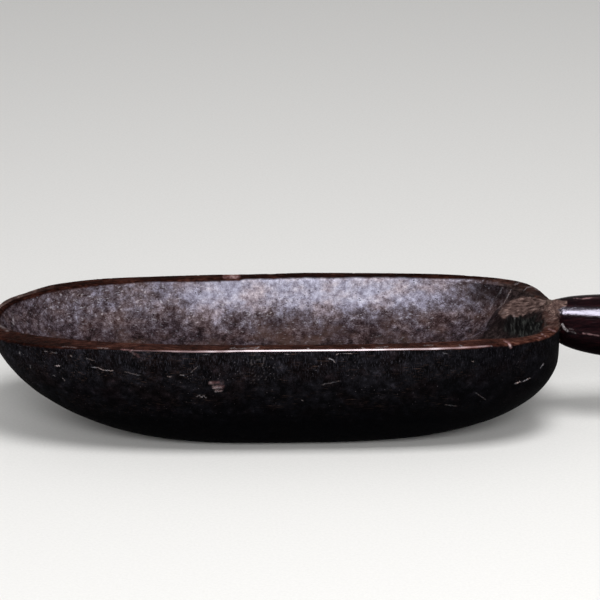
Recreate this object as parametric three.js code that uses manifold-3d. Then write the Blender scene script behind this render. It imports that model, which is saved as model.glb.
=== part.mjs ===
// A long carved wooden dish with one stout handle that is tenoned and pegged into its end wall.
// Millimetres, +Z up. X runs along the dish towards the handle, the long side that is seen in the
// photograph faces -Y, and the origin is the middle of the dish on the flat that it rests on.

import * as THREE from 'three';
import { mergeVertices } from 'three/addons/utils/BufferGeometryUtils.js';
import Module from 'manifold-3d';

// Outside of the dish
const DISH_LENGTH = 408;
const DISH_WIDTH = 170;
const RIM_HEIGHT = 84.5; // at mid-length
const HANDLE_END_DROP = 1.2; // how far the rim sinks at the handle end's tip
const PLAIN_END_DROP = 4;
const HANDLE_END_UNDERCUT = 124; // from the tip back to the resting flat
const PLAIN_END_UNDERCUT = 138;
const PLAIN_END_RAKE = 22; // the straight share of the plain end's undercut
const SIDE_UNDERCUT = 45;
const SIDE_RAKE = 4; // the straight share of the sides' undercut
const RIM_OUTER_ROUND = 2.5;

// Hollow of the dish: a long trough, and a scoop between its end and the handle
const SIDE_WALL = 12.5; // mean of both sides, at the rim at mid-length
const TROUGH_SHIFT = 2.5; // the trough lies this far towards the side away from the photograph
const END_WALL = 11; // at the rim, at the handle end's tip
const PLAIN_END_WALL = 7;
const FLOOR_THICKNESS = 13;
const TROUGH_STOP = 24; // from the handle end's tip back to the trough's own end
const PLAIN_HOLLOW_RAKE = 30; // how far the trough's plain end slopes inwards on its way down
const HANDLE_HOLLOW_RAKE = 44;
const SCOOP_LENGTH = 53; // from the wall's inner edge back to the scoop's deepest place
const SCOOP_WIDTH = 128;
const SCOOP_SHIFT = 4; // the scoop lies this far towards the side away from the photograph
const SCOOP_DEPTH = 50; // below the rim's tip
const RIM_INNER_ROUND = 3;

// Handle, measured along X from the dish's tip. A sink is from the rim's tip down to the axis.
const HANDLE_LENGTH = 108;
const NECK_DIAMETER = 31.6;
const NECK_SINK = 7.2;
const SWELL_AT = 12;
const SWELL_DIAMETER = 39.4;
const SWELL_SINK = 9.2;
const GRIP_AT = 44;
const GRIP_DIAMETER = 46.4;
const GRIP_SINK = 12;
const BUTT_DIAMETER = 40;
const BUTT_ROUND = 16;
const LAP_SETBACK = 1.5; // the lap over the rim stops this far outside the wall's inner edge
const LAP_DIAMETER = 21;
const LAP_SINK = 5;
const LAP_SHIFT = 5; // the lap leans this far towards the side away from the photograph

// Joint between the handle and the end wall
const TENON_DIAMETER = 14;
const TENON_SINK = 15;
const TENON_DEPTH = 10; // the tenon's length inside the end wall, where it ends blind
const TENON_ROOT = 9; // and inside the neck
const PEG_DIAMETER = 5;
const PEG_DEPTH = 26; // below the rim's tip
const PEG_SIDE = 2; // the peg stands this far off the middle plane
const PEG_PROUD = 0.6; // above the lap
const JOINT_GAP = 0.3;

// Form of the curves, and how finely they are divided
const RIM_DROP_POWER = 5; // keeps the rim level in the middle, with the drop near the tips
const HANDLE_END_UPRIGHT = 0.25; // share of the height that stays upright at the handle end
const HOLLOW_POWER = 2.5; // of the trough's cross-section
const SCOOP_POWER = 1.4; // 1 is a cone, and 2 is a round bowl
const HANDLE_SECTION_POWER = 1.85; // just under a circle, which leaves four soft arrises
const OUTLINE_STEPS = 96;
const WALL_STEPS = 9;
const HOLLOW_STEPS = 10;
const ROUND_STEPS = 3;
const SCOOP_STEPS = 56;
const HANDLE_STEPS = 26;
const HANDLE_SIDES = 40;
const BUTT_STEPS = 6;
const DOWEL_SIDES = 28;
const SAMPLES = 720;
const CLEAR = 12; // how far a cutting solid stands out past what it cuts

// How square the corners of an outline are: 2 is an ellipse, and higher is squarer. Each pair is
// the corner on the far side, +Y, and the corner on the near side.
const DISH_CORNERS = { plain: [3.1, 3.1], handle: [3.75, 3.75] };
const TROUGH_CORNERS = { plain: [2.65, 2.35], handle: [5.9, 3.8] };
const SCOOP_CORNERS = { plain: [2.4, 2.4], handle: [2.4, 3.4] };

const tip = DISH_LENGTH / 2;
const halfWidth = DISH_WIDTH / 2;
const tipHeight = RIM_HEIGHT - HANDLE_END_DROP;
const innerTip = tip - END_WALL;

const wasm = await Module();
wasm.setup();

// Height of the rim's top above the resting flat, at a place along the dish.
function rimHeight(x) {
  const drop = x < 0 ? PLAIN_END_DROP : HANDLE_END_DROP;
  return RIM_HEIGHT - drop * Math.min(Math.abs(x) / tip, 1) ** RIM_DROP_POWER;
}

// Depth profile of a round quarter: 0 where share is 0, and 1 where share is 1.
function roundQuarter(share) {
  return 1 - Math.sqrt(1 - Math.min(Math.max(share, 0), 1) ** 2);
}

function signedPower(value, power) {
  return Math.sign(value) * Math.abs(value) ** power;
}

// Places round a squared ellipse, evenly spaced at the given half-lengths and kept as shares of
// them, so that every ring of one solid can be made from the same list.
function evenShares(plainEnd, handleEnd, side, corners, count) {
  const points = [];
  for (let i = 0; i < SAMPLES; i += 1) {
    const turn = (i / SAMPLES) * 2 * Math.PI;
    const towardsHandle = Math.cos(turn) >= 0;
    const [far, near] = towardsHandle ? corners.handle : corners.plain;
    const power = 2 / (Math.sin(turn) >= 0 ? far : near);
    const x = signedPower(Math.cos(turn), power) * (towardsHandle ? handleEnd : plainEnd);
    const y = signedPower(Math.sin(turn), power) * side;
    points.push(new THREE.Vector3(x, y, 0));
  }
  const loop = new THREE.CatmullRomCurve3(points, true);
  loop.arcLengthDivisions = SAMPLES * 2;
  return loop
    .getSpacedPoints(count)
    .slice(0, count)
    .map((point) => ({
      along: point.x / (point.x < 0 ? plainEnd : handleEnd),
      across: point.y / side,
    }));
}

// One ring of places at the given half-lengths. heightOf takes x and the place's share along.
function ring(shares, plainEnd, handleEnd, side, heightOf, centre = 0) {
  return shares.map(({ along, across }) => {
    const x = centre + along * (along < 0 ? plainEnd : handleEnd);
    return new THREE.Vector3(x, across * side, heightOf(x, along));
  });
}

// A closed solid through rings of equal count, each turning right-handed about the way they go.
function loft(rings) {
  const count = rings[0].length;
  const vertices = rings.flat();
  const faces = [];
  for (let level = 0; level < rings.length - 1; level += 1) {
    for (let i = 0; i < count; i += 1) {
      const next = (i + 1) % count;
      const here = level * count;
      const above = here + count;
      faces.push(here + i, here + next, above + next);
      faces.push(here + i, above + next, above + i);
    }
  }
  for (const [level, turned] of [[0, true], [rings.length - 1, false]]) {
    const middle = new THREE.Vector3();
    rings[level].forEach((point) => middle.addScaledVector(point, 1 / count));
    const centre = vertices.push(middle) - 1;
    for (let i = 0; i < count; i += 1) {
      const pair = [level * count + i, level * count + ((i + 1) % count)];
      faces.push(centre, ...(turned ? pair.reverse() : pair));
    }
  }
  const geometry = new THREE.BufferGeometry().setFromPoints(vertices);
  geometry.setIndex(faces);
  return geometry;
}

function toSolid(geometry) {
  const bare = geometry.clone();
  bare.deleteAttribute('normal');
  bare.deleteAttribute('uv');
  const merged = mergeVertices(bare);
  return new wasm.Manifold(new wasm.Mesh({
    numProp: 3,
    vertProperties: new Float32Array(merged.attributes.position.array),
    triVerts: new Uint32Array(merged.index.array),
  }));
}

function toGeometry(solid) {
  const { vertProperties, triVerts } = solid.getMesh();
  const geometry = new THREE.BufferGeometry();
  geometry.setAttribute('position', new THREE.BufferAttribute(vertProperties, 3));
  geometry.setIndex(new THREE.BufferAttribute(triVerts, 1));
  geometry.computeVertexNormals();
  return geometry;
}

// A round dowel between two places on a line along X or Z.
function dowel(diameter, from, to) {
  const geometry = new THREE.CylinderGeometry(
    diameter / 2, diameter / 2, from.distanceTo(to), DOWEL_SIDES,
  );
  const direction = to.clone().sub(from).normalize();
  geometry.applyQuaternion(
    new THREE.Quaternion().setFromUnitVectors(new THREE.Vector3(0, 1, 0), direction),
  );
  geometry.translate(...from.clone().add(to).divideScalar(2));
  return toSolid(geometry);
}

// The dish before it is hollowed, larger all round by grow.
function dishBlock(grow) {
  const shares = evenShares(tip, tip, halfWidth, DISH_CORNERS, OUTLINE_STEPS);
  const edge = RIM_OUTER_ROUND;
  const rings = [];
  for (let step = WALL_STEPS; step >= 0; step -= 1) {
    const depth = Math.sin((step / WALL_STEPS) * (Math.PI / 2));
    const upright = (depth - HANDLE_END_UPRIGHT) / (1 - HANDLE_END_UPRIGHT);
    const plainInset = PLAIN_END_RAKE * depth
      + (PLAIN_END_UNDERCUT - PLAIN_END_RAKE) * roundQuarter(depth);
    const handleInset = HANDLE_END_UNDERCUT * roundQuarter(upright);
    const sideInset = SIDE_RAKE * depth + (SIDE_UNDERCUT - SIDE_RAKE) * roundQuarter(depth);
    rings.push(ring(
      shares,
      tip - plainInset + grow,
      tip - handleInset + grow,
      halfWidth - sideInset + grow,
      (x, along) => (1 - depth) * (rimHeight(along * tip) - edge) - grow * depth,
    ));
  }
  for (let step = 1; step <= ROUND_STEPS; step += 1) {
    const turn = (step / ROUND_STEPS) * (Math.PI / 2);
    const inset = edge * (1 - Math.cos(turn)) - grow;
    const rise = (edge + grow) * Math.sin(turn) - edge;
    rings.push(ring(
      shares, tip - inset, tip - inset, halfWidth - inset, (x) => rimHeight(x) + rise,
    ));
  }
  rings.push(ring(
    shares,
    tip - 2 * END_WALL,
    tip - 2 * END_WALL,
    halfWidth - 2 * SIDE_WALL,
    (x) => rimHeight(x) + grow,
  ));
  return toSolid(loft(rings));
}

// The rings of a hollow's mouth, which flare by the rim's inner rounding, from the bottom up.
function mouthRings(shares, plainEnd, handleEnd, side, centre) {
  const rings = [];
  for (let step = 0; step <= ROUND_STEPS; step += 1) {
    const turn = (step / ROUND_STEPS) * (Math.PI / 2);
    const flare = RIM_INNER_ROUND * (1 - Math.cos(turn));
    const sink = RIM_INNER_ROUND * (1 - Math.sin(turn));
    rings.push(ring(
      shares, plainEnd + flare, handleEnd + flare, side + flare,
      (x) => rimHeight(x) - sink, centre,
    ));
  }
  const flare = RIM_INNER_ROUND;
  rings.push(ring(
    shares, plainEnd + flare, handleEnd + flare, side + flare,
    (x) => rimHeight(x) + CLEAR, centre,
  ));
  return rings;
}

// What is carved out along most of the dish.
function troughHollow() {
  const ends = [tip - PLAIN_END_WALL, tip - TROUGH_STOP, halfWidth - SIDE_WALL];
  const shares = evenShares(...ends, TROUGH_CORNERS, OUTLINE_STEPS);
  const rings = [];
  for (let step = 1; step < HOLLOW_STEPS; step += 1) {
    const spread = Math.sin((step / HOLLOW_STEPS) * (Math.PI / 2));
    const climb = 1 - (1 - spread ** HOLLOW_POWER) ** (1 / HOLLOW_POWER);
    rings.push(ring(
      shares,
      (ends[0] - PLAIN_HOLLOW_RAKE * (1 - climb)) * spread,
      (ends[1] - HANDLE_HOLLOW_RAKE * (1 - climb)) * spread,
      ends[2] * spread,
      (x) => FLOOR_THICKNESS + (rimHeight(x) - RIM_INNER_ROUND - FLOOR_THICKNESS) * climb,
    ));
  }
  const trough = toSolid(loft([...rings, ...mouthRings(shares, ...ends, 0)]));
  return trough.translate([0, TROUGH_SHIFT, 0]);
}

// What is carved out between the trough's end and the handle: a shallower, sloping hollow.
function scoopHollow() {
  const ends = [SCOOP_LENGTH, SCOOP_LENGTH, SCOOP_WIDTH / 2];
  const shares = evenShares(...ends, SCOOP_CORNERS, SCOOP_STEPS);
  const centre = innerTip - SCOOP_LENGTH;
  const bottom = tipHeight - SCOOP_DEPTH;
  const rings = [];
  for (let step = 1; step < HOLLOW_STEPS; step += 1) {
    const spread = step / HOLLOW_STEPS;
    rings.push(ring(
      shares,
      ...ends.map((end) => end * spread),
      (x) => bottom + (rimHeight(x) - RIM_INNER_ROUND - bottom) * spread ** SCOOP_POWER,
      centre,
    ));
  }
  const scoop = toSolid(loft([...rings, ...mouthRings(shares, ...ends, centre)]));
  return scoop.translate([0, SCOOP_SHIFT, 0]);
}

// Stations along the handle: distance from the dish's tip, diameter, sink and sideways shift.
const stations = [
  { at: LAP_SETBACK - END_WALL, diameter: LAP_DIAMETER, sink: LAP_SINK, shift: LAP_SHIFT },
  { at: 0, diameter: NECK_DIAMETER, sink: NECK_SINK, shift: 0 },
  { at: SWELL_AT, diameter: SWELL_DIAMETER, sink: SWELL_SINK, shift: 0 },
  { at: GRIP_AT, diameter: GRIP_DIAMETER, sink: GRIP_SINK, shift: 0 },
  { at: HANDLE_LENGTH - BUTT_ROUND, diameter: BUTT_DIAMETER, sink: GRIP_SINK, shift: 0 },
];
const spine = new THREE.CatmullRomCurve3(
  stations.map(({ at, shift, sink }) => new THREE.Vector3(tip + at, shift, tipHeight - sink)),
);
const girth = new THREE.CatmullRomCurve3(
  stations.map(({ at, diameter }) => new THREE.Vector3(at, diameter / 2, 0)),
);

function handleRing(centre, radius) {
  const points = [];
  for (let i = 0; i < HANDLE_SIDES; i += 1) {
    const turn = (i / HANDLE_SIDES) * 2 * Math.PI;
    const y = signedPower(Math.cos(turn), 2 / HANDLE_SECTION_POWER) * radius;
    const z = signedPower(Math.sin(turn), 2 / HANDLE_SECTION_POWER) * radius;
    points.push(new THREE.Vector3(0, y, z).add(centre));
  }
  return points;
}

// The handle's whole rod, from its lap over the rim to its rounded butt.
function handleRod() {
  const rings = [];
  for (let step = 0; step <= HANDLE_STEPS; step += 1) {
    const share = step / HANDLE_STEPS;
    rings.push(handleRing(spine.getPoint(share), girth.getPoint(share).y));
  }
  const last = spine.getPoint(1);
  for (let step = 1; step < BUTT_STEPS; step += 1) {
    const turn = (step / BUTT_STEPS) * (Math.PI / 2);
    const centre = last.clone().add(new THREE.Vector3(BUTT_ROUND * Math.sin(turn), 0, 0));
    rings.push(handleRing(centre, (BUTT_DIAMETER / 2) * Math.cos(turn)));
  }
  return toSolid(loft(rings));
}

// The peg stands in the middle of the end wall, where the lap is halfway up to the neck's top.
const pegX = tip - END_WALL / 2;
const lapTop = (LAP_DIAMETER / 2 - LAP_SINK + NECK_DIAMETER / 2 - NECK_SINK) / 2;

const hollow = troughHollow().add(scoopHollow());

const tenonEnd = new THREE.Vector3(tip - TENON_DEPTH, 0, tipHeight - TENON_SINK);
const tenonRoot = tenonEnd.clone().setX(tip + TENON_ROOT);
const mortise = dowel(
  TENON_DIAMETER + 2 * JOINT_GAP,
  tenonEnd.clone().setX(tenonEnd.x - JOINT_GAP),
  tenonRoot,
);

const pegFoot = new THREE.Vector3(pegX, PEG_SIDE, tipHeight - PEG_DEPTH);
const pegHead = new THREE.Vector3(pegX, PEG_SIDE, tipHeight + lapTop + PEG_PROUD);
const pegHole = dowel(
  PEG_DIAMETER + 2 * JOINT_GAP,
  pegFoot.clone().setZ(pegFoot.z - JOINT_GAP),
  pegHead.clone().setZ(pegHead.z + CLEAR),
);

function dish() {
  return dishBlock(0).subtract(hollow).subtract(mortise).subtract(pegHole);
}

function handle() {
  const tenon = dowel(TENON_DIAMETER, tenonEnd, tenonRoot);
  return handleRod().subtract(dishBlock(JOINT_GAP)).add(tenon).subtract(pegHole);
}

function lockingPeg() {
  return dowel(PEG_DIAMETER, pegFoot, pegHead);
}

const dishWood = new THREE.MeshStandardMaterial({ color: 0x3b302b, roughness: 0.75, metalness: 0 });
const handleWood = new THREE.MeshStandardMaterial({ color: 0x33171a, roughness: 0.3, metalness: 0 });
const pegWood = new THREE.MeshStandardMaterial({ color: 0x8a6f5c, roughness: 0.8, metalness: 0 });

function piece(name, solid, material) {
  const mesh = new THREE.Mesh(toGeometry(solid), material);
  mesh.name = name;
  return mesh;
}

const servingDish = new THREE.Group();
servingDish.add(piece('dish', dish(), dishWood));
servingDish.add(piece('handle', handle(), handleWood));
servingDish.add(piece('locking_peg', lockingPeg(), pegWood));

export default servingDish;
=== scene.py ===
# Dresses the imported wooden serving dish: finer carved solids, wood materials, camera and light.
import functools
import math

import bpy
import numpy as np
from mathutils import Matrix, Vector
from mathutils.kdtree import KDTree


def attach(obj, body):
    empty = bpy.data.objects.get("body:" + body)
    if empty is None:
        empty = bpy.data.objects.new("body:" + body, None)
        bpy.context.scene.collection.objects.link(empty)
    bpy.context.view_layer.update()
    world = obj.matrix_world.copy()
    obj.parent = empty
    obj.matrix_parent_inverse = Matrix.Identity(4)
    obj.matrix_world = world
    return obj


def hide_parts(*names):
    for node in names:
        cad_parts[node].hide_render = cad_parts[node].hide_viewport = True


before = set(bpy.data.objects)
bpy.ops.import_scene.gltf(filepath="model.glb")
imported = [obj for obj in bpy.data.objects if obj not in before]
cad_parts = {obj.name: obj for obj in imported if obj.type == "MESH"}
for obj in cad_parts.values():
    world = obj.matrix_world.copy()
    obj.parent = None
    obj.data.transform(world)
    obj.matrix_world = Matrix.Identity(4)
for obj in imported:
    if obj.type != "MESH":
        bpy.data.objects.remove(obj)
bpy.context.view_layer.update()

# Millimetres here, as in the part's source, and metres in Blender
MM = 0.001

# Sizes of the dish, as in the part's source
TIP = 204.0
HALF_WIDTH = 85.0
RIM_HEIGHT = 84.5
HANDLE_END_DROP = 1.2
PLAIN_END_DROP = 4.0
RIM_DROP_POWER = 5
HANDLE_END_UNDERCUT = 124.0
PLAIN_END_UNDERCUT = 138.0
PLAIN_END_RAKE = 22.0
SIDE_UNDERCUT = 45.0
SIDE_RAKE = 4.0
HANDLE_END_UPRIGHT = 0.25
RIM_OUTER_ROUND = 2.5
RIM_INNER_ROUND = 3.0
END_WALL = 11.0
PLAIN_END_WALL = 7.0
SIDE_WALL = 12.5
TROUGH_SHIFT = 2.5
FLOOR_THICKNESS = 13.0
TROUGH_STOP = 24.0
PLAIN_HOLLOW_RAKE = 30.0
HANDLE_HOLLOW_RAKE = 44.0
HOLLOW_POWER = 2.5
SCOOP_LENGTH = 53.0
SCOOP_WIDTH = 128.0
SCOOP_SHIFT = 4.0
SCOOP_DEPTH = 50.0
SCOOP_POWER = 1.4
CREASE_ROUND = 0.5
DISH_CORNERS = dict(plain=(3.1, 3.1), handle=(3.75, 3.75))
TROUGH_CORNERS = dict(plain=(2.65, 2.35), handle=(5.9, 3.8))
SCOOP_CORNERS = dict(plain=(2.4, 2.4), handle=(2.4, 3.4))
TIP_HEIGHT = RIM_HEIGHT - HANDLE_END_DROP
INNER_TIP = TIP - END_WALL

# Sizes of the handle, measured along X from the dish's tip
HANDLE_LENGTH = 108.0
BUTT_ROUND = 16.0
BUTT_DIAMETER = 40.0
HANDLE_SECTION_POWER = 1.85
# at, diameter, sink of the axis below the rim's tip, sideways shift
STATIONS = (
    (1.5 - END_WALL, 21.0, 5.0, 5.0),
    (0.0, 31.6, 7.2, 0.0),
    (12.0, 39.4, 9.2, 0.0),
    (44.0, 46.4, 12.0, 0.0),
    (HANDLE_LENGTH - BUTT_ROUND, BUTT_DIAMETER, 12.0, 0.0),
)
# How far the lap's top stands above the rim's tip at the peg, midway between the first two stations
LAP_TOP_RISE = sum(diameter / 2 - sink for _, diameter, sink, _ in STATIONS[:2]) / 2

# Joint between the handle and the end wall
TENON_DIAMETER = 14.0
TENON_SINK = 15.0
TENON_DEPTH = 10.0
TENON_ROOT = 9.0
PEG_DIAMETER = 5.0
PEG_DEPTH = 26.0
PEG_SIDE = 2.0
PEG_PROUD = 0.6
# The peg's chamfered foot and domed head
PEG_CHAMFER = 0.4
PEG_HEAD_ROUND = 0.9
# Gaps round the tenon and the peg, and behind the handle's shoulder
BORE_GAP = 0.15
SHOULDER_GAP = 0.2

# How finely the dressed surfaces are divided
COLUMNS = 1280
WALL_ROWS = 116
HOLLOW_ROWS = 128
ROUND_ROWS = 9
TOP_ROWS = 8
UNDER_ROWS = 12
HANDLE_ROWS = 220
HANDLE_SIDES = 208
BUTT_ROWS = 30
DOWEL_SIDES = 72
SHARP_ANGLE = math.radians(38)

# Kinds of surface on the dish, in the order of its rings
OUTSIDE, OUTER_EDGE, TOP, INNER_EDGE, INSIDE = 0.0, 0.5, 1.0, 1.5, 2.0

# Camera, fitted to the photograph's rim
CAMERA_ELEVATION = math.radians(18.92)
CAMERA_TURN = math.radians(-1.41)
CAMERA_DISTANCE = 2.5
FRAME = 600.0
FOCAL_PIXELS = 3477.75
TARGET_PIXEL = (274.02, 311.13)


def smooth(low, high, value):
    """0 at low and 1 at high, with a smooth climb between them."""
    t = np.clip((value - low) / (high - low), 0, 1)
    return t * t * (3 - 2 * t)


def noise(points, size, seed, stretch=(1, 1, 1)):
    """Smooth noise from -1 to 1 at places in millimetres, with features of the given size."""
    lattice = np.random.default_rng(seed).uniform(-1, 1, (32, 32, 32))
    place = points / (size * np.asarray(stretch, float)) + 100.0
    cell = np.floor(place).astype(int)
    part = place - cell
    part = part * part * (3 - 2 * part)
    total = 0
    for corner in np.ndindex(2, 2, 2):
        weight = np.ones(len(points))
        for axis in range(3):
            weight = weight * (part[:, axis] if corner[axis] else 1 - part[:, axis])
        index = (cell + corner) % 32
        total = total + weight * lattice[index[:, 0], index[:, 1], index[:, 2]]
    return total


def photo_place(points):
    """Where places in millimetres show in the photograph, in pixels from its upper left corner."""
    x, y, z = points[:, 0], points[:, 1], points[:, 2] - RIM_HEIGHT
    rise, turn = CAMERA_ELEVATION, CAMERA_TURN
    towards = x * math.sin(turn) - y * math.cos(turn)
    distance = CAMERA_DISTANCE / MM - towards * math.cos(rise) - z * math.sin(rise)
    right = x * math.cos(turn) + y * math.sin(turn)
    up = z * math.cos(rise) - towards * math.sin(rise)
    scale = FOCAL_PIXELS / distance
    return TARGET_PIXEL[0] + right * scale, TARGET_PIXEL[1] - up * scale


def rim_height(x):
    drop = np.where(x < 0, PLAIN_END_DROP, HANDLE_END_DROP)
    return RIM_HEIGHT - drop * np.minimum(np.abs(x) / TIP, 1) ** RIM_DROP_POWER


def round_quarter(share):
    return 1 - np.sqrt(1 - np.clip(share, 0, 1) ** 2)


def corner_power(corners, x, y):
    """How square an outline's corner is: each end has one value for its far and one for its near side."""
    far, near = (np.where(x < 0, plain, handle) for plain, handle in zip(corners["plain"], corners["handle"]))
    return np.where(y >= 0, far, near)


def length_along(across, up):
    """Length along a line after each of its steps."""
    return np.concatenate([[0], np.cumsum(np.hypot(across, up))])


def outline_shares():
    """The dish's outline as shares of its half-lengths, evenly spaced in each quarter."""
    count = COLUMNS // 4
    turn = np.linspace(0, math.pi / 2, 4001)
    quarters = []
    for sign_x, sign_y in ((1, 1), (-1, 1), (-1, -1), (1, -1)):
        power = 2 / float(corner_power(DISH_CORNERS, sign_x, sign_y))
        along, across = np.cos(turn) ** power, np.sin(turn) ** power
        if sign_x * sign_y < 0:
            along, across = along[::-1], across[::-1]
        length = length_along(np.diff(along) * TIP, np.diff(across) * HALF_WIDTH)
        even = np.linspace(0, length[-1], count + 1)[:-1]
        quarters.append(np.stack([
            np.interp(even, length, along) * sign_x,
            np.interp(even, length, across) * sign_y,
        ], 1))
    return np.concatenate(quarters)


def spread_of(x, y, plain_end, handle_end, side, corners):
    """How far out a place lies on the scaled rings of an outline: 1 is on the outline."""
    power = corner_power(corners, x, y)
    end = np.where(x < 0, plain_end, handle_end)
    return (np.abs(x / end) ** power + np.abs(y / side) ** power) ** (1 / power)


def climb_of(spread):
    return 1 - (1 - np.clip(spread, 0, 1) ** HOLLOW_POWER) ** (1 / HOLLOW_POWER)


def halve(low, high, too_low):
    """Where values between low and high stop being too low, found by halving the gap."""
    for _ in range(30):
        middle = (low + high) / 2
        under = too_low(middle)
        low, high = np.where(under, middle, low), np.where(under, high, middle)
    return (low + high) / 2


def trough_spread(x, y):
    def outside(spread):
        unclimbed = 1 - climb_of(spread)
        plain_end = (TIP - PLAIN_END_WALL - PLAIN_HOLLOW_RAKE * unclimbed) * spread
        handle_end = (TIP - TROUGH_STOP - HANDLE_HOLLOW_RAKE * unclimbed) * spread
        side = (HALF_WIDTH - SIDE_WALL) * spread
        return spread_of(x, y - TROUGH_SHIFT, plain_end, handle_end, side, TROUGH_CORNERS) > 1

    return halve(np.full(len(x), 1e-6), np.full(len(x), 1.6), outside)


def scoop_spread(x, y, flare=0.0):
    length, side = SCOOP_LENGTH + flare, SCOOP_WIDTH / 2 + flare
    x, y = x - (INNER_TIP - SCOOP_LENGTH), y - SCOOP_SHIFT
    return spread_of(x, y, length, length, side, SCOOP_CORNERS)


def hollow_height(x, y):
    """Height of the hollow's surface, and how much higher the scoop would be than the trough."""
    top = rim_height(x) - RIM_INNER_ROUND
    trough, scoop = trough_spread(x, y), scoop_spread(x, y)
    bottom = TIP_HEIGHT - SCOOP_DEPTH
    trough_z = FLOOR_THICKNESS + (top - FLOOR_THICKNESS) * climb_of(trough)
    trough_z += 400 * np.maximum(trough - 1, 0)
    scoop_z = bottom + (top - bottom) * scoop ** SCOOP_POWER
    blend = -CREASE_ROUND * np.logaddexp(-trough_z / CREASE_ROUND, -scoop_z / CREASE_ROUND)
    return np.minimum(blend, top), scoop_z - trough_z


def mouth(start, end, flare):
    """Where rays from start to end leave the hollow's mouth, which is widened by flare."""
    def inside(share):
        x, y = (start + (end - start) * share[:, None]).T
        trough = spread_of(x, y - TROUGH_SHIFT, TIP - PLAIN_END_WALL + flare, TIP - TROUGH_STOP + flare,
                           HALF_WIDTH - SIDE_WALL + flare, TROUGH_CORNERS)
        return np.minimum(trough, scoop_spread(x, y, flare)) < 1

    share = halve(np.zeros(len(start)), np.ones(len(start)), inside)
    return start + (end - start) * share[:, None]


def place_ring(xy, z):
    return np.column_stack([xy, np.broadcast_to(z, len(xy))])


SHARES = outline_shares()
MIRRORED = (-np.arange(COLUMNS)) % COLUMNS
FOLDED = (SHARES[:, 0] + SHARES[MIRRORED, 0]) / 2
# Half-lengths of the folds in the middle of a surface, as shares of its own half-length
SPINE_SHARE, HOLLOW_SPINE_SHARE = 0.6, 0.61


def spine_ring(half_length):
    """A ring that is folded flat onto the middle plane."""
    return np.column_stack([FOLDED * half_length, np.zeros(COLUMNS)])


def curve_in(depth, rake, undercut):
    """How far the outer wall has drawn in at a depth, from 0 at the rim to 1 at the foot."""
    return rake * depth + (undercut - rake) * round_quarter(depth)


def even_depths():
    """Depths of the outer wall's rings, from the underside up, evenly spaced along its profile."""
    depth = np.sin(np.linspace(math.pi / 2, 0, 2001))
    inset = curve_in(depth, SIDE_RAKE, SIDE_UNDERCUT)
    length = length_along(np.diff(inset), np.diff(depth) * RIM_HEIGHT)
    return np.interp(np.linspace(0, length[-1], WALL_ROWS + 1), length, depth)


def outer_rows(grow):
    """Rings from the middle of the underside up to the rim's outer edge, larger by grow."""
    along, across = SHARES.T
    rim = rim_height(along * TIP)
    wall = []
    for depth in even_depths():
        upright = (depth - HANDLE_END_UPRIGHT) / (1 - HANDLE_END_UPRIGHT)
        plain = TIP - curve_in(depth, PLAIN_END_RAKE, PLAIN_END_UNDERCUT)
        handle = TIP - curve_in(upright, 0, HANDLE_END_UNDERCUT)
        side = HALF_WIDTH - curve_in(depth, SIDE_RAKE, SIDE_UNDERCUT)
        end = np.where(along >= 0, handle, plain) + grow
        xy = np.column_stack([along * end, across * (side + grow)])
        wall.append(place_ring(xy, (1 - depth) * (rim - RIM_OUTER_ROUND) - grow * depth))
    base, spine = wall[0][:, :2], spine_ring((TIP - PLAIN_END_UNDERCUT) * SPINE_SHARE)
    under = [place_ring(spine + (base - spine) * (step / UNDER_ROWS), -grow) for step in range(UNDER_ROWS)]
    edge = []
    for step in range(1, ROUND_ROWS + 1):
        turn = step / ROUND_ROWS * math.pi / 2
        inset = RIM_OUTER_ROUND * (1 - math.cos(turn)) - grow
        rise = (RIM_OUTER_ROUND + grow) * math.sin(turn) - RIM_OUTER_ROUND
        xy = np.column_stack([along * (TIP - inset), across * (HALF_WIDTH - inset)])
        edge.append(place_ring(xy, rim_height(xy[:, 0]) + rise))
    return under + wall, edge


def dish_rows():
    """Rings of the dish from the middle of its underside, up outside, over the rim and down."""
    outside, edge = outer_rows(0.0)
    rows = outside + edge
    kinds = [OUTSIDE] * len(outside) + [OUTER_EDGE] * len(edge)
    top_outer = rows[-1][:, :2]
    spine = spine_ring(INNER_TIP * HOLLOW_SPINE_SHARE)
    flat_inner = mouth(spine, top_outer, RIM_INNER_ROUND)
    for step in range(1, TOP_ROWS):
        xy = top_outer + (flat_inner - top_outer) * (step / TOP_ROWS)
        rows.append(place_ring(xy, rim_height(xy[:, 0])))
        kinds.append(TOP)
    for step in range(ROUND_ROWS, -1, -1):
        turn = step / ROUND_ROWS * math.pi / 2
        xy = mouth(spine, top_outer, RIM_INNER_ROUND * (1 - math.cos(turn)))
        rows.append(place_ring(xy, rim_height(xy[:, 0]) - RIM_INNER_ROUND * (1 - math.sin(turn))))
        kinds.append(INNER_EDGE)
    rim_ring = rows[-1][:, :2]
    profile = np.linspace(0, 1, 4001)
    inward = np.diff(profile) * (HALF_WIDTH - SIDE_WALL)
    rise = np.diff((TIP_HEIGHT - FLOOR_THICKNESS) * climb_of(profile))
    length = length_along(inward, rise)
    even = np.interp(np.linspace(length[-1], 0, HOLLOW_ROWS + 1)[1:], length, profile)
    lift = []
    for share in even:
        xy = spine + (rim_ring - spine) * share
        height, above = hollow_height(xy[:, 0], xy[:, 1])
        rows.append(place_ring(xy, height))
        kinds.append(INSIDE)
        lift.append(above)
    above = np.concatenate([np.zeros((len(rows) - len(lift), COLUMNS)), np.array(lift)])
    return np.array(rows), np.repeat(kinds, COLUMNS), above.ravel()


def new_mesh(name, points, faces):
    """A mesh through points in millimetres."""
    mesh = bpy.data.meshes.new(name)
    mesh.from_pydata((np.asarray(points) * MM).tolist(), [], faces)
    mesh.update()
    return mesh


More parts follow.
